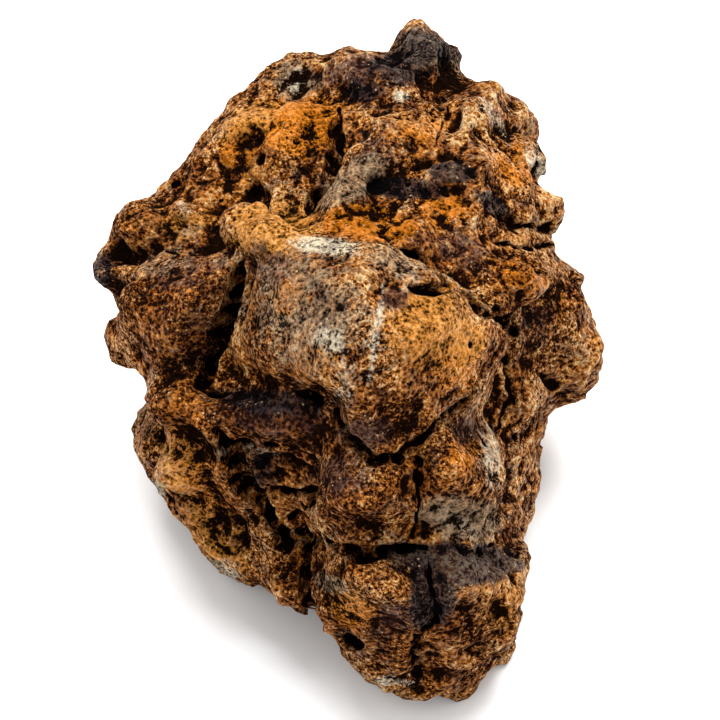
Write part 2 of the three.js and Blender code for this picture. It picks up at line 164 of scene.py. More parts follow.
# Cracks follow a path on the show face, (x, y, width) in mm, and are so deep.
cracks = {
    "boulderGap": {"deep": 8, "path": [
        (-15.9, 13, 0.8), (-17.3, 8, 2.2), (-19.6, 1.8, 3.4), (-21.6, -3.2, 1.4),
    ]},
    "behindCap": {"deep": 6, "path": [
        (1.6, 16.3, 0.8), (7, 13.7, 1), (12, 10.2, 1.8), (16.8, 6.6, 3), (21.8, 4.2, 2.2),
    ]},
    "slot": {"deep": 4, "path": [(6.9, 9.5, 1.2), (9.5, 9.2, 2), (12.3, 9.6, 1.8)]},
    "overFoot": {"deep": 7, "path": [
        (-8.5, -24.2, 1.6), (-4, -24.8, 2), (0.7, -25.6, 2.2), (5, -25.2, 1.8), (8, -24.8, 1),
    ]},
    "besideFoot": {"deep": 8, "path": [
        (-7.3, -25.4, 1.5), (-7.9, -31, 2.2), (-7, -35.5, 2.4), (-6.3, -38, 1.4),
    ]},
    "betweenBlocks": {"deep": 3, "path": [
        (7, -11.5, 1.2), (7.6, -14.5, 1), (7.8, -19, 0.6), (7.2, -23, 1),
    ]},
    "footSplit": {"deep": 3, "path": [
        (8.9, -26.8, 0.7), (9.4, -30.2, 0.6), (10.4, -35, 0.9), (8, -36.8, 1.3), (7.4, -40.2, 1.3),
        (7.9, -44, 0.8),
    ]},
    "greyHollow": {"deep": 3, "path": [(14.5, -25.2, 0.8), (16.5, -25.8, 1.1), (18.6, -25, 0.6)]},
    "overRoll": {"deep": 3, "path": [
        (18.5, 19.6, 0.6), (22, 18.6, 1), (25.5, 18.5, 1.2), (28.5, 19.2, 1.2),
    ]},
    "underRoll": {"deep": 2.5, "path": [
        (18.4, 15.8, 0.5), (22, 15.6, 0.9), (25.5, 16, 1), (28, 16.6, 0.6),
    ]},
    "crownSplit": {"deep": 2, "path": [(11.9, 37.5, 0.5), (12.1, 34, 0.8), (10.6, 30, 0.4)]},
    "crownRecess": {"deep": 6, "path": [
        (-3, 35.5, 0.8), (-3.2, 30.5, 2.4), (-4.2, 25.5, 3), (-7.2, 21, 2),
    ]},
    "underBoulder": {"deep": 3, "path": [(-22, -3.5, 1), (-19.5, -4.6, 1.5), (-17.8, -4.4, 0.8)]},
    "caveMouth": {"deep": 6, "path": [(-19.2, -10, 1.6), (-17.4, -12.2, 3.2), (-14.7, -11.8, 2)]},
    "cave": {"deep": 5, "path": [
        (-17, -13, 3), (-15.6, -17, 3.2), (-13.6, -20, 2.4), (-11.5, -23, 2), (-10, -26.2, 2.4),
    ]},
    "caveCrack": {"deep": 4, "path": [
        (-11.8, -17.6, 0.8), (-8.5, -18, 1.2), (-5.4, -17, 1.6), (-7, -19.3, 1.4), (-9.2, -21.6, 1),
    ]},
    "underCap": {"deep": 4, "path": [(-8.2, -4.6, 1), (-6.3, -5, 2), (-4.6, -5.6, 1.4)]},
    "shelf": {"deep": 1.6, "path": [(-28, 15.8, 0.5), (-25.6, 14.6, 0.8)]},
    "capEdge": {"deep": 3.5, "path": [
        (-3.3, -6.2, 1), (-2, -9.6, 1.3), (1.6, -13.1, 1.7), (5.2, -12.7, 1.6), (8.5, -10, 1.3),
        (14.4, -4.8, 1), (18.2, 1, 0.7),
    ]},
    "besideCap": {"deep": 2.5, "path": [(19.6, 4, 0.8), (20.9, -5.4, 1.1), (18.9, -9.4, 0.7)]},
    "underLobe": {"deep": 3, "path": [(25.3, -1.7, 1.4), (28.1, -4, 1.8)]},
}
# Pits are round holes: (x, y, radius, depth) in mm.
pits = [
    (-26.6, 25.5, 1.0, 2.4), (-14, 28.2, 1.1, 2.8), (-1, -38.5, 1.8, 3.2), (10.5, 26.5, 0.6, 1.4),
    (15.4, 25, 0.5, 1.2), (-12, -11.8, 1.3, 4), (-13.6, -20.5, 1.0, 3), (6.5, 24, 0.6, 1.2),
    (-8.8, 30.5, 0.7, 1.6), (-19.5, 22.5, 0.6, 1.4), (20.5, -3.5, 0.8, 2), (14.5, 2, 0.7, 1.3),
    (21.8, -10.5, 0.8, 2.2), (22, 27, 0.7, 1.5),
]
# Knobs are lumps too small for the plain solid: (x, y, z, radius) in mm.
knobs = [(23, 28.3, -12, 4.4), (-30, 18.5, -9, 5.0), (-24.5, 20, -8, 4.5), (-15.2, 18, 11, 4.2)]
# Beads are the blisters of the black crust, strewn along a path.
beads = {
    "path": [(0, 21.5), (6, 23), (12.5, 25.3), (18, 21.8)],
    "step": 0.3,  # mm
    "strayed": 0.9,  # mm
    "count": 60,
    "radius": (0.6, 1.3),  # mm
}


# An icosphere with half axes of size, in mm, is one scoop out of the stone, or one lump on it.
def addScoop(place, along, out, size):
    bpy.ops.mesh.primitive_ico_sphere_add(subdivisions=3, radius=1)
    scoop = bpy.context.object
    side = out.cross(along).normalized()
    along = side.cross(out).normalized()
    turn = Matrix((along, side, out)).transposed().to_4x4()
    scoop.data.transform(Matrix.Translation(place) @ turn @ Matrix.Diagonal((*(s * mm for s in size), 1)))
    return scoop


# Points at even steps along a path, with its widths in between.
def pointsAlong(path, step):
    points = []
    for start, end in zip(path, path[1:]):
        count = max(1, round(math.dist(start[:2], end[:2]) / step))
        points += [[a + (b - a) * i / count for a, b in zip(start, end)] for i in range(count)]
    return points + [path[-1]]


def joined(things, name):
    bpy.ops.object.select_all(action="DESELECT")
    for thing in things:
        thing.select_set(True)
    bpy.context.view_layer.objects.active = things[0]
    bpy.ops.object.join()
    whole = bpy.context.object
    whole.name = name
    return whole


# Scoops sit in a row along each crack, in a wandering line, and get shallow towards its ends.
cutting = {
    "step": 0.9,  # mm between scoops
    "wander": 0.25,  # mm
    "width": (0.7, 1.3),  # least and most, as a share
    "depth": (0.7, 1.1),
    "endDepth": 0.4,  # as a share, and how much more with each scoop
    "deepen": 0.3,
    "voxel": 0.3,  # mm
    "ragged": (1.2, 0.7),  # mm apart, and by how many mm
}


def crackCutter(stone, chance):
    find = surfaceFinder(stone)
    wander = cutting["wander"]
    scoops = []
    for crack in cracks.values():
        points = pointsAlong(crack["path"], cutting["step"])
        last = len(points) - 1
        for i, (x, y, wide) in enumerate(points):
            ahead, behind = points[min(i + 1, last)], points[max(i - 1, 0)]
            along = faceToRoom.to_3x3() @ Vector((ahead[0] - behind[0], ahead[1] - behind[1], 0))
            place, normal = find(x + chance.uniform(-wander, wander), y + chance.uniform(-wander, wander))
            if place is None:
                continue
            half = wide / 2 * chance.uniform(*cutting["width"])
            share = min(1, cutting["endDepth"] + cutting["deepen"] * min(i, last - i))
            deep = crack["deep"] * share * chance.uniform(*cutting["depth"])
            scoops.append(addScoop(place, along, (normal + faceOut).normalized(), (1.0, half, deep)))
    for x, y, radius, deep in pits:
        place, normal = find(x, y)
        if place is not None:
            out = (normal + faceOut).normalized()
            scoops.append(addScoop(place, normal.orthogonal(), out, (radius, radius * 0.8, deep)))
    cutter = joined(scoops, "cutter")
    remeshed(cutter, cutting["voxel"])
    every, by = cutting["ragged"]
    ragged = bpy.data.textures.new("ragged", "CLOUDS")
    ragged.noise_scale = every * mm
    applyModifier(cutter, "DISPLACE", texture=ragged, texture_coords="LOCAL", strength=by * mm, mid_level=0.5)
    remeshed(cutter, cutting["voxel"])
    return cutter


def addKnobs(stone):
    right, _, out = (axis.normalized() for axis in faceToRoom.to_3x3().transposed())
    made = [stone]
    for x, y, z, radius in knobs:
        place = faceToRoom @ Vector((x, y, z))
        made.append(addScoop(place, right, out, (radius, radius * 0.9, radius * 2)))
    return joined(made, stone.name)


def addBeads(stone, chance):
    find = surfaceFinder(stone)
    made = [stone]
    line = pointsAlong(beads["path"], beads["step"])
    for _ in range(beads["count"]):
        x, y = chance.choice(line)
        place, normal = find(x + chance.gauss(0, beads["strayed"]), y + chance.gauss(0, beads["strayed"]))
        if place is not None:
            radius = chance.uniform(*beads["radius"])
            size = (radius, radius * 0.85, radius * 0.8)
            made.append(addScoop(place, normal.orthogonal(), normal, size))
    return joined(made, stone.name)


# Each layer of relief is a pattern so many mm apart that moves the surface by so many mm. Holes and edges reach
# so far, as a share of every. patchy leaves the pattern out in patches that many mm wide, and squeeze squeezes
# it along the face's x, y and z.
boldRelief = [
    {"pattern": "noise", "every": 8.0, "by": 1.2, "detail": 3, "roughness": 0.5},
    {"pattern": "chips", "every": 7.0, "by": 0.3},
    {"pattern": "nodules", "every": 4.5, "by": 0.6, "patchy": 12},
    {"pattern": "edges", "every": 6.0, "by": 0.6, "reach": 0.1, "patchy": 10},
]
fineRelief = [
    {"pattern": "chips", "every": 2.8, "by": 0.25},
    {"pattern": "nodules", "every": 2.1, "by": 0.35, "patchy": 7},
    {"pattern": "noise", "every": 2.6, "by": 0.6, "detail": 6, "roughness": 0.7},
    {"pattern": "noise", "every": 1.1, "by": 0.5, "detail": 3, "roughness": 0.7},
    {"pattern": "edges", "every": 2.4, "by": 0.3, "reach": 0.1, "patchy": 6},
    {"pattern": "holes", "every": 1.9, "by": 0.7, "reach": 0.3, "patchy": 6},
    {"pattern": "holes", "every": 1.1, "by": 0.5, "reach": 0.4, "patchy": 3},
    {
        "pattern": "noise", "every": 4.0, "by": 1.0, "detail": 4, "roughness": 0.55,
        "squeeze": (0.35, 3.6, 0.6), "only": "layered",
    },
]


def addRelief(stone, layers, name):
    tree = bpy.data.node_groups.new(name, "GeometryNodeTree")
    tree.interface.new_socket("Geometry", in_out="INPUT", socket_type="NodeSocketGeometry")
    tree.interface.new_socket("Geometry", in_out="OUTPUT", socket_type="NodeSocketGeometry")
    place = addNode(tree, "ShaderNodeVectorMath", {
        0: addNode(tree, "GeometryNodeInputPosition"), "Scale": 1 / mm,
    }, operation="SCALE")
    swirl = addNode(tree, "ShaderNodeTexNoise", {"Vector": place, "Scale": 0.22, "Detail": 2.0})
    push = addNode(tree, "ShaderNodeVectorMath", {
        0: swirl.outputs["Color"], 1: (0.5, 0.5, 0.5),
    }, operation="SUBTRACT")
    # by up to 1.5 mm, so that no pattern shows its cells
    bent = addNode(tree, "ShaderNodeVectorMath", {0: push, 1: (3, 3, 3), 2: place}, operation="MULTIPLY_ADD")
    calm = addNode(tree, "GeometryNodeInputNamedAttribute", {"Name": "calm"}, data_type="FLOAT")
    height = 0.0
    for i, layer in enumerate(layers):
        where = addNode(tree, "ShaderNodeVectorMath", {0: bent, 1: (17.0 * i, 0, 0)}, operation="ADD")
        if "squeeze" in layer:
            upright = addNode(tree, "ShaderNodeVectorRotate", {
                "Vector": where, "Angle": -math.radians(showFace["lean"]),
            }, rotation_type="X_AXIS")
            where = addNode(tree, "ShaderNodeVectorMath", {
                0: upright, 1: layer["squeeze"],
            }, operation="MULTIPLY")
        placed = {"Vector": where, "Scale": 1 / layer["every"]}
        if layer["pattern"] == "noise":
            raw = addNode(tree, "ShaderNodeTexNoise", {
                **placed, "Detail": float(layer["detail"]), "Roughness": layer["roughness"],
            })
            shape = addNode(tree, "ShaderNodeMath", {0: raw, 1: 0.5}, operation="SUBTRACT")
        elif layer["pattern"] == "nodules":
            away = addNode(tree, "ShaderNodeTexVoronoi", placed)
            square = addNode(tree, "ShaderNodeMath", {0: away, 1: away}, operation="MULTIPLY")
            shape = addNode(tree, "ShaderNodeMath", {0: square, 1: -2.8}, operation="MULTIPLY")
        elif layer["pattern"] == "chips":  # each cell is a plane that tilts its own way
            cell = addNode(tree, "ShaderNodeTexVoronoi", {**placed, "Smoothness": 0.12}, feature="SMOOTH_F1")
            off = addNode(tree, "ShaderNodeVectorMath", {
                0: where, 1: cell.outputs["Position"],
            }, operation="SUBTRACT")
            tilt = addNode(tree, "ShaderNodeVectorMath", {
                0: cell.outputs["Color"], 1: (0.5, 0.5, 0.5),
            }, operation="SUBTRACT")
            shape = addNode(tree, "ShaderNodeVectorMath", {0: off, 1: tilt}, operation="DOT_PRODUCT")
            shape = shape.outputs["Value"]
        else:
            feature = {"edges": "DISTANCE_TO_EDGE", "holes": "F1"}[layer["pattern"]]
            shape = addNode(tree, "ShaderNodeMapRange", {
                "Value": addNode(tree, "ShaderNodeTexVoronoi", placed, feature=feature).outputs["Distance"],
                "From Min": 0.0, "From Max": layer["reach"], "To Min": -1.0, "To Max": 0.0,
            }, interpolation_type="SMOOTHSTEP")
        if "patchy" in layer:
            patches = addNode(tree, "ShaderNodeTexNoise", {"Vector": where, "Scale": 1 / layer["patchy"]})
            share = addNode(tree, "ShaderNodeMapRange", {
                "Value": patches, "From Min": 0.42, "From Max": 0.6,
            }, interpolation_type="SMOOTHSTEP")
            shape = addNode(tree, "ShaderNodeMath", {0: shape, 1: share}, operation="MULTIPLY")
        if "only" in layer:
            mask = addNode(tree, "GeometryNodeInputNamedAttribute", {"Name": layer["only"]}, data_type="FLOAT")
            shape = addNode(tree, "ShaderNodeMath", {0: shape, 1: mask}, operation="MULTIPLY")
        elif layer["every"] > 1.5:  # calm places keep the fine relief
            wild = addNode(tree, "ShaderNodeMath", {0: calm, 1: -0.8, 2: 1.0}, operation="MULTIPLY_ADD")
            shape = addNode(tree, "ShaderNodeMath", {0: shape, 1: wild}, operation="MULTIPLY")
        height = addNode(tree, "ShaderNodeMath", {
            0: shape, 1: layer["by"] * mm, 2: height,
        }, operation="MULTIPLY_ADD")
    normal = addNode(tree, "GeometryNodeInputNormal")
    shift = addNode(tree, "ShaderNodeVectorMath", {0: normal, "Scale": height}, operation="SCALE")
    moved = addNode(tree, "GeometryNodeSetPosition", {
        "Geometry": addNode(tree, "NodeGroupInput"), "Offset": shift,
    })
    addNode(tree, "NodeGroupOutput", {0: moved})
    applyModifier(stone, "NODES", node_group=tree)


def storeFloat(mesh, name, values):
    attribute = mesh.attributes.get(name) or mesh.attributes.new(name, "FLOAT", "POINT")
    attribute.data.foreach_set("value", values.astype(np.float32))


def vectorsOf(mesh, name):
    values = np.empty(len(mesh.vertices) * 3)
    mesh.vertices.foreach_get(name, values)
    return values.reshape(-1, 3)


# How far the surface lies below its own surroundings, near by and further off: 0 on a crest, 1 in a hollow.
# The material uses these to paint shade into the hollows.
def storeHollows(stone, reaches):
    mesh = stone.data
    count = len(mesh.vertices)
    points, normals = vectorsOf(mesh, "co"), vectorsOf(mesh, "normal")
    edges = np.empty(len(mesh.edges) * 2, dtype=np.int64)
    mesh.edges.foreach_get("vertices", edges)
    edges = edges.reshape(-1, 2)
    ends = np.concatenate([edges[:, 0], edges[:, 1]])
    others = np.concatenate([edges[:, 1], edges[:, 0]])
    degree = np.bincount(ends, minlength=count)
    lengths = np.linalg.norm(points[edges[:, 0]] - points[edges[:, 1]], axis=1)
    step = np.bincount(ends, np.concatenate([lengths, lengths]), minlength=count) / degree
    for _ in range(12):
        step = 0.5 * step + 0.5 * np.bincount(ends, step[others], minlength=count) / degree
    coarser = np.maximum(1, (step / np.median(step)) ** 1.5)  # each round reaches further on larger triangles
    smooth = points.copy()
    done = 0
    for name, rounds, depth in reaches:
        for _ in range(rounds - done):
            total = [np.bincount(ends, smooth[others, axis], minlength=count) for axis in range(3)]
            smooth = 0.5 * smooth + 0.5 * np.stack(total, axis=1) / degree[:, None]
        done = rounds
        below = np.einsum("ij,ij->i", smooth - points, normals) / (depth * mm * coarser)
        storeFloat(mesh, name, np.clip(0.5 + 0.5 * below, 0, 1))


# Stains are ovals on the show face: x, y, half width, half height in mm, turn in degrees and how strong.
stains = {
    "grey": [
        (-7, 6.5, 9, 8.5, 0, 0.75), (4, 12.7, 4, 2.6, -20, 0.7), (-0.7, 24.5, 6.3, 3, 30, 1),
        (-9.3, 40, 3.6, 3.4, 0, 1), (-27, 13.5, 6.4, 2.6, 10, 0.6), (-4, -30, 2.2, 1.4, 0, 1.3),
        (13.5, -21, 6, 3, -15, 1.3), (-24, 18, 3, 1.2, 20, 0.6), (10, 44, 7, 3, -20, 0.8),
    ],
    "cream": [
        (-4.5, 14.8, 5, 1.4, -10, 0.9), (-4, 2.6, 3, 1.8, -30, 0.8), (2, 2.5, 0.6, 7.5, -8, 0.75),
        (-2, -4, 1.6, 2.4, 0, 0.6), (17.5, -13, 2, 5.2, 5, 0.65), (4.7, -44.5, 3.4, 0.9, -8, 0.8),
        (-29, -18.5, 1.5, 2, 0, 0.9), (-19, -30, 3, 2, -30, 0.7), (25, 28, 1.5, 3.4, 35, 0.8),
        (5.6, 37, 1.8, 0.9, 0, 0.7), (19, 34, 1.3, 4.5, 35, 0.6), (-9, 40, 2, 2.6, 0, 0.7),
    ],
    "ochre": [
        (-11.5, 17.5, 5, 4.2, 0, 1.8), (9, 5, 5, 5, 0, 0.9), (-24.5, 18.5, 3.6, 2, 20, 0.9),
        (-15.5, 34, 5.2, 3, 30, 0.9), (13.4, 2.6, 3.6, 3.4, 0, 1), (9, 4.5, 7, 7, 0, 0.75),
        (-20, -25, 4, 6.5, 30, 0.9), (-25, -14, 4, 6, 30, 0.7), (18.5, -32, 5, 7, 0, 0.6),
        (-1.5, -32.5, 3.6, 3.4, -30, 0.7), (8, 33, 4.5, 2.6, 0, 0.5),
    ],
    "orange": [
        (1.4, 18.2, 5.4, 2.4, -4, 2), (-8.5, 33.5, 6.5, 5, 10, 1.1), (-9.5, 9.2, 2, 3, 0, 1.8),
        (10.8, 20.9, 4, 3.4, -20, 0.8), (-17, 30, 4, 3, 30, 0.8), (13, -1, 4, 5, 0, 0.6),
        (-1, -34, 4, 3, -30, 0.8), (-22, -17, 4, 7, 30, 0.6), (22, 27.5, 3.8, 4.2, 0, 0.7),
        (8.5, 31.8, 4.8, 3.2, 0, 0.6), (22, 11.8, 4.8, 3.4, -30, 0.6), (14, -12, 3, 3, 0, 0.7),
        (-24, -8, 4, 4, 0, 0.5), (27, 6, 3.5, 5, 0, 0.4),
    ],
    "charcoal": [
        (6.2, 23.3, 6.2, 1.8, -4, 1), (12.5, 25.6, 3.6, 1.8, 0, 1), (18, 21.5, 3, 1.7, -30, 1),
        (-2.6, 6.8, 3.8, 1.4, 35, 0.6), (6, 42, 6, 3.6, 20, 0.9), (10, 45.5, 6, 3, -20, 0.85),
        (-37, 12.5, 2.4, 3.4, 0, 0.8), (-12, -5.6, 8, 1.9, -4, 0.9), (13, -27, 9, 2.6, -6, 1.3),
        (9.5, -31, 3, 5, 0, 1.2), (-2, -38, 2, 1.5, 0, 0.7), (-5, 7.5, 1.4, 4, -30, 0.55),
        (1, 38, 4, 2, 0, 0.8), (-13.5, -14, 3, 4, 0, 0.7),
    ],
    "varnish": [
        (-22.8, 12, 7.5, 2.6, 14, 0.6), (-21, 4, 4, 7, -20, 0.5), (-11, 12, 4, 2.5, 30, 0.8),
        (6, -34, 4, 3, 0, 0.7), (2, 29, 4, 3, 0, 0.6), (13, 15, 5, 3, -30, 0.7), (24, 5, 3, 4, 0, 0.6),
        (4.6, 7.8, 2.2, 1.6, 20, 0.9), (0.6, -9.6, 3.8, 2.6, 0, 0.9), (-2, -15, 5, 3.4, 0, 0.7),
        (-1.4, 41, 6.4, 2.2, 10, 0.8), (-13, 13, 2.6, 2.6, 0, 0.8), (-11, -8, 9, 3, -5, 0.7),
        (14, -9.5, 2.4, 2, 0, 0.8), (2, -36, 3, 2, 0, 0.6), (-26, 3, 5, 5, 0, 0.4),
    ],
    # painted shade: ovals that darken the rust, most of them over the lower front and under the cap
    "paintedShade": [
        (2, -34, 10, 9, 0, 1), (12, -36, 7, 9, 0, 0.7), (2, -17, 9, 6, 0, 1), (13, -13, 4, 6, 0, 0.5),
        (-12, -8, 12, 5, -5, 1), (-24, 5, 9, 9, 0, 0.6), (2, -9, 6, 5, 0, 0.6), (-2, 40, 8, 4, 0, 0.7),
        (10, 40, 7, 7, 0, 0.6), (24, 6, 6, 8, 0, 0.5), (-32, 16, 6, 6, 0, 0.6), (-16, -16, 6, 8, 0, 0.5),
    ],
    "calm": [
        (-7, 6, 11, 10, 0, 0.85), (9, 3, 10, 10, -20, 0.9), (1.5, -7, 6, 6, 0, 0.8),
        (-26, 6, 10, 8, -30, 0.8), (-13, -7, 11, 5, -5, 0.7), (1, -17, 7, 5, 0, 0.6),
        (28, 3, 6, 9, 0, 0.6), (3, -33, 8, 7, 0, 0.5), (13, -14, 5, 8, 0, 0.6),
    ],
    "layered": [(-12, -7.5, 10, 4.2, -5, 1), (-4, -12, 8, 3, -5, 0.8), (-25, 24, 8, 2.4, 22, 0.6)],
}


# A stain fades out between 0.55 and 1.45 of its oval, on walls that face sideways and round the back.
def storeStains(stone, names):
    mesh = stone.data
    toFace = np.array(faceToRoom.inverted())
    onFace = vectorsOf(mesh, "co") @ toFace[:3, :3].T + toFace[:3, 3]
    facing = np.clip((vectorsOf(mesh, "normal") @ toFace[:3, :3].T)[:, 2] * mm * 4 + 1.2, 0, 1)
    facing *= onFace[:, 2] > -26
    for name in names:
        amount = np.zeros(len(mesh.vertices))
        for x, y, wide, high, turn, strength in stains[name]:
            c, s = math.cos(math.radians(turn)), math.sin(math.radians(turn))
            dx, dy = onFace[:, 0] - x, onFace[:, 1] - y
            far = np.hypot((dx * c + dy * s) / wide, (dy * c - dx * s) / high)
            amount = np.maximum(amount, strength * np.clip((1.45 - far) / 0.9, 0, 1))
        storeFloat(mesh, name, amount * facing)


# Fewer triangles, taken more from the underside and back than from the show face.
def thinned(stone):
    triangles = 2 * len(stone.data.polygons)
    print("stone: relief on", triangles, "triangles")
    facing = vectorsOf(stone.data, "normal") @ np.array(faceOut)
    group = stone.vertex_groups.new(name="coarse")
    for low, high, share in roughStone["coarse"]:
        chosen = np.flatnonzero((facing >= low) & (facing < high))
        group.add(chosen.tolist(), share, "REPLACE")
    applyModifier(
        stone, "DECIMATE", ratio=min(1, roughStone["triangles"] / triangles), vertex_group="coarse",
        use_collapse_triangulate=True,
    )


# Keeps the shell that holds the leftmost point, drops loose crumbs and patches edges that three faces share.
def oneClosedShell(stone):
    chosen = np.zeros(len(stone.data.vertices), dtype=bool)
    chosen[np.argmin(vectorsOf(stone.data, "co")[:, 0])] = True
    selectOnly(stone)
    bpy.ops.object.mode_set(mode="EDIT")
    bpy.ops.mesh.select_mode(type="VERT")
    bpy.ops.mesh.select_all(action="DESELECT")
    bpy.ops.object.mode_set(mode="OBJECT")
    stone.data.vertices.foreach_set("select", chosen)
    bpy.ops.object.mode_set(mode="EDIT")
    bpy.ops.mesh.select_linked()
    bpy.ops.mesh.select_all(action="INVERT")
    bpy.ops.mesh.delete(type="VERT")
    bpy.ops.mesh.select_non_manifold()
    bpy.ops.mesh.delete(type="VERT")
    bpy.ops.mesh.select_non_manifold()
    bpy.ops.mesh.fill_holes(sides=0)
    bpy.ops.mesh.select_all(action="SELECT")
    bpy.ops.mesh.quads_convert_to_tris()
    bpy.ops.object.mode_set(mode="OBJECT")


def rustedStone():
    chance = random.Random(roughStone["seed"])
    stone = addKnobs(copyOfNode("meteorite"))
    remeshed(stone, roughStone["firstVoxel"])
    applyModifier(stone, "SMOOTH", factor=0.5, iterations=roughStone["smoothing"])
    print("stone: rough shape", len(stone.data.polygons), "faces")
    storeStains(stone, ["calm"])
    addRelief(stone, boldRelief, "boldRelief")
    stone = addBeads(stone, chance)
    remeshed(stone, roughStone["beadVoxel"])
    cutter = crackCutter(stone, chance)
    applyModifier(stone, "BOOLEAN", operation="DIFFERENCE", object=cutter, solver="MANIFOLD")
    remeshed(stone, roughStone["fineVoxel"])
    print("stone: cracks and pits cut")
    storeStains(stone, ["calm", "layered"])
    addRelief(stone, fineRelief, "fineRelief")
    remeshed(stone, roughStone["fineVoxel"])
    applyModifier(stone, "BOOLEAN", operation="DIFFERENCE", object=cutter, solver="MANIFOLD")  # open them again
    bpy.data.objects.remove(cutter)
    thinned(stone)
    oneClosedShell(stone)
    points = vectorsOf(stone.data, "co")
    points[:, 2] = np.maximum(points[:, 2], stoneLow.z)  # worn flat where it stands
    stone.data.vertices.foreach_set("co", points.ravel())
    stone.data.update()
    storeHollows(stone, roughStone["hollows"])
    storeStains(stone, ["grey", "cream", "ochre", "orange", "charcoal", "varnish", "paintedShade"])
    selectOnly(stone)
    bpy.ops.object.shade_smooth()
    print("stone: finished,", len(stone.data.polygons), "triangles")
    return stone


# Rusted meteorite: stony iron weathered in the ground. Its iron has rusted to a crumbly crust, so it is matt
# and full of pin holes, orange to ochre on the fresh crests; the dark hollows and pin holes are painted shade.
rust = {
    "stops": [
        (0.05, "#1b0e06"), (0.65, "#ca7419"), (0.22, "#42210b"), (0.42, "#864914"), (0.9, "#f0aa48"),
        (1.0, "#fadaa2"),
    ],
    "skinStops": [(0.05, "#120a07"), (1.0, "#8a6244"), (0.45, "#482c1e")],
    "grain": "#ffdca4",
    # what makes it lighter or darker: the noises give its own tone, the three hollow terms after them and the
    # last, oval term are painted shade
    "start": -1.28,
    "lightness": {
        "crumbs": 1.4, "grit": 1.05, "sponge": 0.9, "broad": 1.5,
        "pocketShade": -0.48, "valleyShade": -0.36, "near": -0.25, "paintedShade": -0.22,
    },
    # noises: mm apart, detail, roughness, shift
    "noises": {
        "broad": (9, 3, 0.55, 0), "crumbs": (2.0, 8, 0.8, 40), "dust": (0.35, 3, 0.8, 80),
        "sandy": (7, 2, 0.5, 500), "skinLeft": (3, 8, 0.8, 120),
    },
    "sponge": 0.65,  # mm between its cells
    "grains": 0.8,  # mm apart
    "grainShare": 0.28,
    "pinHoles": [(1.1, 7.0), (0.6, 19.0)],  # mm apart, shift
    # how dark the painted shade inside the pin holes goes
    "pinHoleShade": 0.22,
    "bumpHeight": 0.9,  # mm
    "bumps": {"crumbs": 2.0, "dust": 1.8, "sponge": 1.4, "pin": 0.7, "dots": 0.3},
}
# Coats lie over the rust in this order: colour, and how much covers what is under it.
coats = {
    "orange": ("#e8860c", 0.85),
    "ochre": ("#ec9c3c", 0.7),
    "varnish": ("#5a3a32", 0.8),  # a brown manganese film
    "grey": ("#a48e70", 0.65),
    "charcoal": ("#29262a", 0.85),  # burnt crust
    "cream": ("#f6e8c8", 0.75),  # lime crystals
}


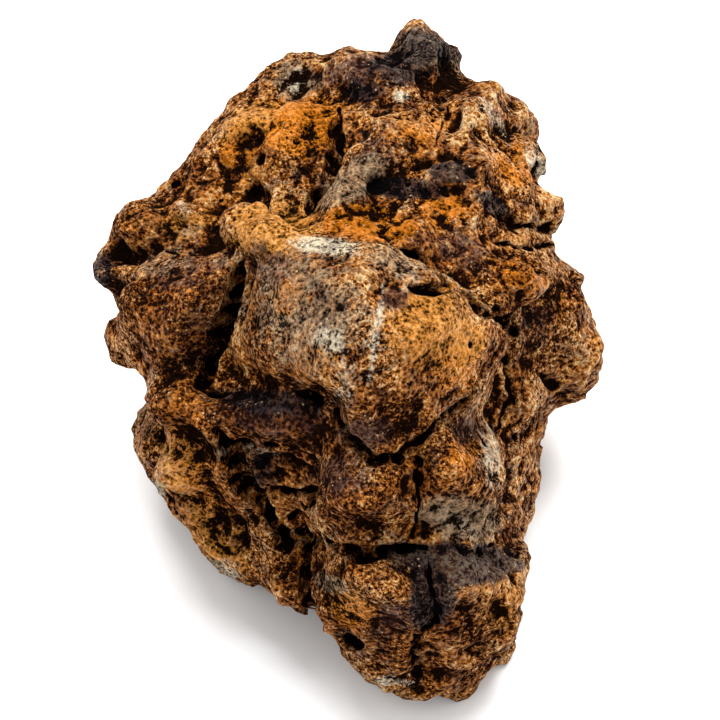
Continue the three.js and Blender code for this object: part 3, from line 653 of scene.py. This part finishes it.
def rustedMaterial():
    material = bpy.data.materials.new("rustedStonyIron")
    material.use_nodes = True
    tree = material.node_tree
    tree.nodes.clear()
    place = addNode(tree, "ShaderNodeVectorMath", {
        0: addNode(tree, "ShaderNodeTexCoord").outputs["Object"], "Scale": 1 / mm,
    }, operation="SCALE")
    swirl = addNode(tree, "ShaderNodeTexNoise", {"Vector": place, "Scale": 0.5, "Detail": 3.0})
    push = addNode(tree, "ShaderNodeVectorMath", {
        0: swirl.outputs["Color"], 1: (0.5, 0.5, 0.5),
    }, operation="SUBTRACT")
    bent = addNode(tree, "ShaderNodeVectorMath", {0: push, 1: (2, 2, 2), 2: place}, operation="MULTIPLY_ADD")
    shake = addNode(tree, "ShaderNodeTexNoise", {"Vector": place, "Scale": 1 / 0.7, "Detail": 1.0})
    shaken = addNode(tree, "ShaderNodeVectorMath", {
        0: shake.outputs["Color"], 1: (0.5, 0.5, 0.5), 2: place,
    }, operation="MULTIPLY_ADD")

    noises = dict(rust["noises"])
    for i, name in enumerate(coats):
        noises[name + "Wild"] = (11, 2, 0.5, 150 + 23 * i)
        noises[name + "Crumbs"] = (2.2, 8, 0.85, 300 + 31 * i)
    for every, shift in rust["pinHoles"]:
        noises[f"closed{every}"] = (3.5, 3, 0.6, shift * 9)
    pattern = {"near": addNode(tree, "ShaderNodeAttribute", attribute_name="hollowNear").outputs["Fac"]}
    for name, (every, detail, roughness, shift) in noises.items():
        # the fine ones aren't bent, or they would smear into streaks
        where = addNode(tree, "ShaderNodeVectorMath", {
            0: bent if every > 1 else place, 1: (0.0, shift, 0.0),
        }, operation="ADD")
        pattern[name] = addNode(tree, "ShaderNodeTexNoise", {
            "Vector": where, "Scale": 1 / every, "Detail": float(detail), "Roughness": roughness,
        })
    pattern["sponge"] = addNode(tree, "ShaderNodeTexVoronoi", {"Vector": shaken, "Scale": 1 / rust["sponge"]})

    # lift is the lightness of the rust: crests light and hollows dark as painted shade, broken by crumbs,
    # sponge and dust
    far = addNode(tree, "ShaderNodeAttribute", attribute_name="hollowFar").outputs["Fac"]
    # the ovals of painted shade
    pattern["paintedShade"] = addNode(tree, "ShaderNodeAttribute", attribute_name="paintedShade").outputs["Fac"]
    # painted shade: darker in the hollows, near by and further off
    pattern["pocketShade"] = addNode(tree, "ShaderNodeMapRange", {0: pattern["near"], 1: 0.5, 2: 0.95})
    pattern["valleyShade"] = addNode(tree, "ShaderNodeMapRange", {0: far, 1: 0.45, 2: 0.85})
    # sandy in some places, smoother in others
    coarse = addNode(tree, "ShaderNodeMapRange", {0: pattern["sandy"], 1: 0.4, 2: 0.62, 3: 1.5, 4: 4.0})
    grit = addNode(tree, "ShaderNodeMath", {0: pattern["dust"], 1: 0.5}, operation="SUBTRACT")
    pattern["grit"] = addNode(tree, "ShaderNodeMath", {0: grit, 1: coarse}, operation="MULTIPLY")
    lift = rust["start"]
    for name, share in rust["lightness"].items():
        lift = addNode(tree, "ShaderNodeMath", {0: pattern[name], 1: share, 2: lift}, operation="MULTIPLY_ADD")
    colour = addNode(tree, "ShaderNodeValToRGB", {"Fac": lift}, stops=rust["stops"])

    # the skin: a thin purple-brown oxide left on the crests
    skin = addNode(tree, "ShaderNodeValToRGB", {"Fac": lift}, stops=rust["skinStops"])
    left = addNode(tree, "ShaderNodeMapRange", {0: pattern["skinLeft"], 1: 0.48, 2: 0.58, 4: 0.7})
    colour = addNode(tree, "ShaderNodeMix", {0: left, 6: colour, 7: skin}, data_type="RGBA").outputs[2]

    # each coat's ragged edge comes from its own crumbs, and light coats keep off the dark pits
    shade = addNode(tree, "ShaderNodeMapRange", {0: lift, 1: 0.0, 2: 0.9, 3: 0.2, 4: 1.25})
    unpitted = addNode(tree, "ShaderNodeMapRange", {0: lift, 1: 0.0, 2: 0.4})
    for name, (tint, hold) in coats.items():
        amount = addNode(tree, "ShaderNodeAttribute", attribute_name=name).outputs["Fac"]
        wild = addNode(tree, "ShaderNodeMapRange", {0: pattern[name + "Wild"], 1: 0.56, 2: 0.72, 4: 0.5})
        amount = addNode(tree, "ShaderNodeMath", {0: amount, 1: wild}, operation="MAXIMUM")
        amount = addNode(tree, "ShaderNodeMath", {0: amount, 1: 1.7, 2: -2.85}, operation="MULTIPLY_ADD")
        amount = addNode(tree, "ShaderNodeMath", {
            0: pattern[name + "Crumbs"], 1: 4.5, 2: amount,
        }, operation="MULTIPLY_ADD")
        if name not in ("varnish", "charcoal"):
            amount = addNode(tree, "ShaderNodeMath", {0: amount, 1: unpitted}, operation="MULTIPLY")
        cover = addNode(tree, "ShaderNodeMapRange", {0: amount, 1: 0.1, 2: 0.7, 4: hold})
        shaded = addNode(tree, "ShaderNodeVectorMath", {0: linear(tint)[:3], "Scale": shade}, operation="SCALE")
        colour = addNode(tree, "ShaderNodeMix", {0: cover, 6: colour, 7: shaded}, data_type="RGBA").outputs[2]

    # pin holes, closed here and there, with painted shade darkening them inside
    pin = None
    for every, shift in rust["pinHoles"]:
        where = addNode(tree, "ShaderNodeVectorMath", {0: shaken, 1: (shift, 0.0, 0.0)}, operation="ADD")
        holes = addNode(tree, "ShaderNodeTexVoronoi", {"Vector": where, "Scale": 1 / every})
        rim = addNode(tree, "ShaderNodeMapRange", {0: holes, 1: 0.14, 2: 0.34})
        closed = addNode(tree, "ShaderNodeMapRange", {0: pattern[f"closed{every}"], 1: 0.44, 2: 0.56})
        rim = addNode(tree, "ShaderNodeMath", {0: rim, 1: closed}, operation="MAXIMUM")
        pin = addNode(tree, "ShaderNodeMath", {0: pin, 1: rim}, operation="MULTIPLY") if pin else rim
    pattern["pin"] = pin
    dark = addNode(tree, "ShaderNodeMapRange", {0: pin, 1: 0.0, 2: 1.0, 3: rust["pinHoleShade"]})
    colour = addNode(tree, "ShaderNodeVectorMath", {0: colour, "Scale": dark}, operation="SCALE")

    # bright grains of bare mineral
    grains = addNode(tree, "ShaderNodeTexVoronoi", {"Vector": place, "Scale": 1 / rust["grains"]})
    dots = addNode(tree, "ShaderNodeMapRange", {0: grains, 1: 0.1, 2: 0.2, 3: 0.85, 4: 0.0})
    draw = addNode(tree, "ShaderNodeSeparateColor", {0: grains.outputs["Color"]})
    chosen = addNode(tree, "ShaderNodeMath", {0: draw, 1: 1 - rust["grainShare"]}, operation="GREATER_THAN")
    dots = addNode(tree, "ShaderNodeMath", {0: dots, 1: chosen}, operation="MULTIPLY")
    dots = addNode(tree, "ShaderNodeMath", {0: dots, 1: unpitted}, operation="MULTIPLY")
    pattern["dots"] = dots
    colour = addNode(tree, "ShaderNodeMix", {
        0: dots, 6: colour, 7: linear(rust["grain"]),
    }, data_type="RGBA").outputs[2]

    # bump: crumbs, dust and pin holes under half a mm, finer than the mesh
    bumps = 0.0
    for name, share in rust["bumps"].items():
        bumps = addNode(tree, "ShaderNodeMath", {
            0: pattern[name], 1: share, 2: bumps,
        }, operation="MULTIPLY_ADD")
    relief = addNode(tree, "ShaderNodeBump", {
        "Height": bumps, "Strength": 1.0, "Distance": rust["bumpHeight"] * mm,
    })
    gloss = addNode(tree, "ShaderNodeMapRange", {0: pattern["dust"], 1: 0.35, 2: 0.65, 3: 0.5, 4: 0.9})
    shine = addNode(tree, "ShaderNodeMapRange", {0: lift, 1: 0.3, 2: 1.0, 4: 0.4})  # nothing shines in a hollow
    shader = addNode(tree, "ShaderNodeBsdfPrincipled", {
        "Base Color": colour, "Roughness": gloss, "Specular IOR Level": shine, "Normal": relief,
    })
    addNode(tree, "ShaderNodeOutputMaterial", {"Surface": shader})
    return material


stone = rustedStone()
stone.data.materials.clear()
stone.data.materials.append(rustedMaterial())
stone.data.polygons.foreach_set("material_index", [0] * len(stone.data.polygons))
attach(stone, "root")
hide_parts("meteorite")

studio = {
    "table": "#f4f4f4",
    "sky": 1.12,
    "lamp": {"place": (0.05, 0.3, 1.0), "wide": 0.9, "watts": 25},  # metres
    "camera": {"distance": 0.4, "across": 0.1008, "sensor": 36},  # metres, what shows at the heart, mm
}


def paleTable():
    bpy.ops.object.select_all(action="DESELECT")
    bpy.ops.mesh.primitive_plane_add(size=6, location=(0, 0, stoneLow.z))
    table = bpy.context.object
    table.name = "paleTable"
    # matt white paint, rolled on, which shows only the soft shadow
    material = bpy.data.materials.new("paintedTable")
    material.use_nodes = True
    shader = material.node_tree.nodes["Principled BSDF"]
    shader.inputs["Base Color"].default_value = linear(studio["table"])
    shader.inputs["Roughness"].default_value = 0.9
    shader.inputs["Specular IOR Level"].default_value = 0.1
    table.data.materials.append(material)


def softLight():
    world = bpy.data.worlds.new("softSky")
    bpy.context.scene.world = world
    world.use_nodes = True
    sky = world.node_tree.nodes["Background"]
    sky.inputs["Color"].default_value = (1, 1, 1, 1)
    sky.inputs["Strength"].default_value = studio["sky"]
    lamp = studio["lamp"]
    bpy.ops.object.light_add(type="AREA", location=lamp["place"])
    light = bpy.context.object
    light.data.shape = "DISK"
    light.data.size = lamp["wide"]
    light.data.energy = lamp["watts"]
    light.rotation_euler = (heart - Vector(lamp["place"])).to_track_quat("-Z", "Y").to_euler()


def addCamera():
    view = studio["camera"]
    bpy.ops.object.camera_add(location=heart + faceOut * view["distance"])
    camera = bpy.context.object
    camera.data.sensor_width = view["sensor"]
    camera.data.lens = view["sensor"] * view["distance"] / view["across"]
    camera.rotation_euler = (-faceOut).to_track_quat("-Z", "Y").to_euler()
    bpy.context.scene.camera = camera


paleTable()
softLight()
addCamera()
bpy.context.scene.view_settings.view_transform = "Standard"
print("studio: table, light and camera")
